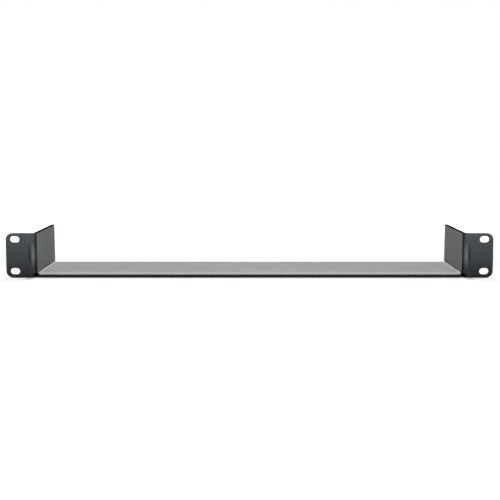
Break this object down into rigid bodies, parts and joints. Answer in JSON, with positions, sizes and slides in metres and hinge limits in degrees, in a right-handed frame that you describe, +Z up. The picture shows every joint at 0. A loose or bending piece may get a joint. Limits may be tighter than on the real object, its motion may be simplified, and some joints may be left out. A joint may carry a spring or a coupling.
{
  "type": "rack shelf",
  "caption": "Shallow equipment shelf folded from one coated metal sheet, with a flat floor, upright side walls and slotted front ears that bolt to rack rails.",
  "frame": {"origin": "on the plane of the underside, below the middle of the whole shelf", "axes": "+X across the rack, +Y from the ears to the back, +Z up"},
  "size_m": [0.4826, 0.103, 0.044],
  "materials": {
    "satin_coat": "matt charcoal powder coat with a faint satin film"
  },
  "bodies": {
    "root": {"rack_shelf": "satin_coat"}
  },
  "joints": []
}
